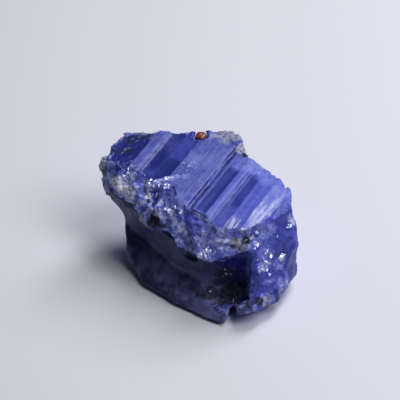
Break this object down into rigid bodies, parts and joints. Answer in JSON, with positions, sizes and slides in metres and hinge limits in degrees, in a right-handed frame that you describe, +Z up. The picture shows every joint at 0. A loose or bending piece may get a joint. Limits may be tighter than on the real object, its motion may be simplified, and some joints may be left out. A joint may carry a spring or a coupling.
{
  "type": "rough tanzanite crystal",
  "caption": "Broken rough tanzanite with a striated cleavage face on top, a crumbled rim over hollow walls, low feet and a red garnet grain in its back edge.",
  "frame": {"origin": "on the ground, under the middle of the stone's box", "axes": "+Z up from the flat spot the stone rests on; -Y is the front, where the hollow walls and the feet are; +X is right"},
  "size_m": [0.0363, 0.0323, 0.0209],
  "materials": {
    "tanzanite": "broken crystal, glassy on fresh faces and frosted along the rim",
    "garnet": "glassy crystal faces"
  },
  "bodies": {
    "root": {"tanzanite_crystal": "tanzanite", "garnet_grain": "garnet"}
  },
  "joints": []
}
